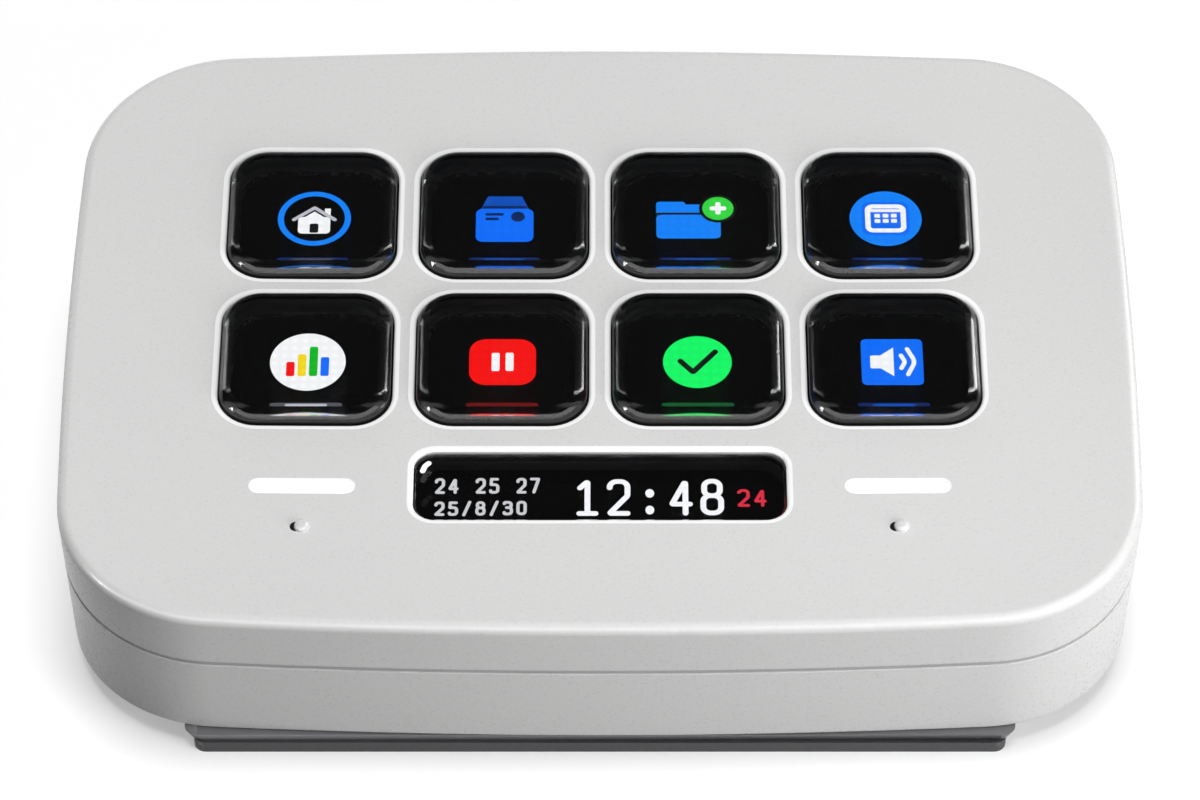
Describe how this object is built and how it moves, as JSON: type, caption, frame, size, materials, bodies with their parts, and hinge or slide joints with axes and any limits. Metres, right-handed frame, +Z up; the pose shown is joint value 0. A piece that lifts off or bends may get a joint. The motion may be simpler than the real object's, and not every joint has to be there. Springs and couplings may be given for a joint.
{
  "type": "macro keypad",
  "caption": "Small wedge-shaped desktop macro keypad with clear display keys, a narrow info window and touch points in a white case.",
  "frame": {"origin": "centre of the footprint on the surface that the keypad stands on", "axes": "+X to the right, +Y to the back where the cord goes in, +Z up; the face slopes down towards -Y"},
  "size_m": [0.107, 0.0787, 0.026],
  "materials": {
    "white_shell": "fine matt texture, moulded white ABS",
    "grey_plinth": "moulded grey ABS",
    "foot_rubber": "matt moulded rubber",
    "window_lens": "clear polished acrylic over the dark display",
    "light_guide": "milky diffusing polycarbonate",
    "socket_shell": "drawn stainless steel",
    "black_plastic": "moulded black plastic",
    "display_glass": "dark display glass",
    "backlight_can": "bright metal can",
    "flex_film": "amber polyimide film",
    "key_silicone": "black silicone",
    "gasket_foam": "black closed-cell foam",
    "board_laminate": "green solder mask on glass-fibre laminate",
    "lamp_resin": "lamp package with clear resin",
    "chip_resin": "black epoxy packages",
    "connector_plastic": "cream connector plastic",
    "ballast_steel": "zinc-plated steel plate",
    "screw_steel": "plated steel",
    "clear_key": "clear polished polycarbonate"
  },
  "bodies": {
    "case": {"top_shell": "white_shell", "bottom_shell": "white_shell", "plinth": "grey_plinth", "foot_pad": "foot_rubber", "info_window": "window_lens", "light_bar_left": "light_guide", "light_bar_right": "light_guide", "usb_socket": "socket_shell", "display_panel": "display_glass", "display_backlight": "backlight_can", "display_tray": "black_plastic", "display_flex": "flex_film", "switch_film": "flex_film", "key_mat": "key_silicone", "info_gasket": "gasket_foam", "touch_board_left": "board_laminate", "touch_board_right": "board_laminate", "touch_flexes": "flex_film", "status_lamps": "lamp_resin", "main_board": "board_laminate", "controller_chip": "chip_resin", "board_parts": "chip_resin", "flex_connectors": "connector_plastic", "usb_tongue": "black_plastic", "ballast_plate": "ballast_steel", "case_screws": "screw_steel", "tray_screws": "screw_steel", "board_screws": "screw_steel"},
    "key_1": {"key_cap_1": "clear_key"},
    "key_2": {"key_cap_2": "clear_key"},
    "key_3": {"key_cap_3": "clear_key"},
    "key_4": {"key_cap_4": "clear_key"},
    "key_5": {"key_cap_5": "clear_key"},
    "key_6": {"key_cap_6": "clear_key"},
    "key_7": {"key_cap_7": "clear_key"},
    "key_8": {"key_cap_8": "clear_key"}
  },
  "joints": [
    {"name": "key_1_press", "type": "slide", "parent": "case", "child": "key_1", "axis": [0, 0.0785, -0.9969], "range_m": [0, 0.0009], "stiffness_N_per_m": 600, "springref_m": -0.0003, "deforming": ["key_mat"]},
    {"name": "key_2_press", "type": "slide", "parent": "case", "child": "key_2", "axis": [0, 0.0785, -0.9969], "range_m": [0, 0.0009], "stiffness_N_per_m": 600, "springref_m": -0.0003, "deforming": ["key_mat"]},
    {"name": "key_3_press", "type": "slide", "parent": "case", "child": "key_3", "axis": [0, 0.0785, -0.9969], "range_m": [0, 0.0009], "stiffness_N_per_m": 600, "springref_m": -0.0003, "deforming": ["key_mat"]},
    {"name": "key_4_press", "type": "slide", "parent": "case", "child": "key_4", "axis": [0, 0.0785, -0.9969], "range_m": [0, 0.0009], "stiffness_N_per_m": 600, "springref_m": -0.0003, "deforming": ["key_mat"]},
    {"name": "key_5_press", "type": "slide", "parent": "case", "child": "key_5", "axis": [0, 0.0785, -0.9969], "range_m": [0, 0.0009], "stiffness_N_per_m": 600, "springref_m": -0.0003, "deforming": ["key_mat"]},
    {"name": "key_6_press", "type": "slide", "parent": "case", "child": "key_6", "axis": [0, 0.0785, -0.9969], "range_m": [0, 0.0009], "stiffness_N_per_m": 600, "springref_m": -0.0003, "deforming": ["key_mat"]},
    {"name": "key_7_press", "type": "slide", "parent": "case", "child": "key_7", "axis": [0, 0.0785, -0.9969], "range_m": [0, 0.0009], "stiffness_N_per_m": 600, "springref_m": -0.0003, "deforming": ["key_mat"]},
    {"name": "key_8_press", "type": "slide", "parent": "case", "child": "key_8", "axis": [0, 0.0785, -0.9969], "range_m": [0, 0.0009], "stiffness_N_per_m": 600, "springref_m": -0.0003, "deforming": ["key_mat"]}
  ]
}
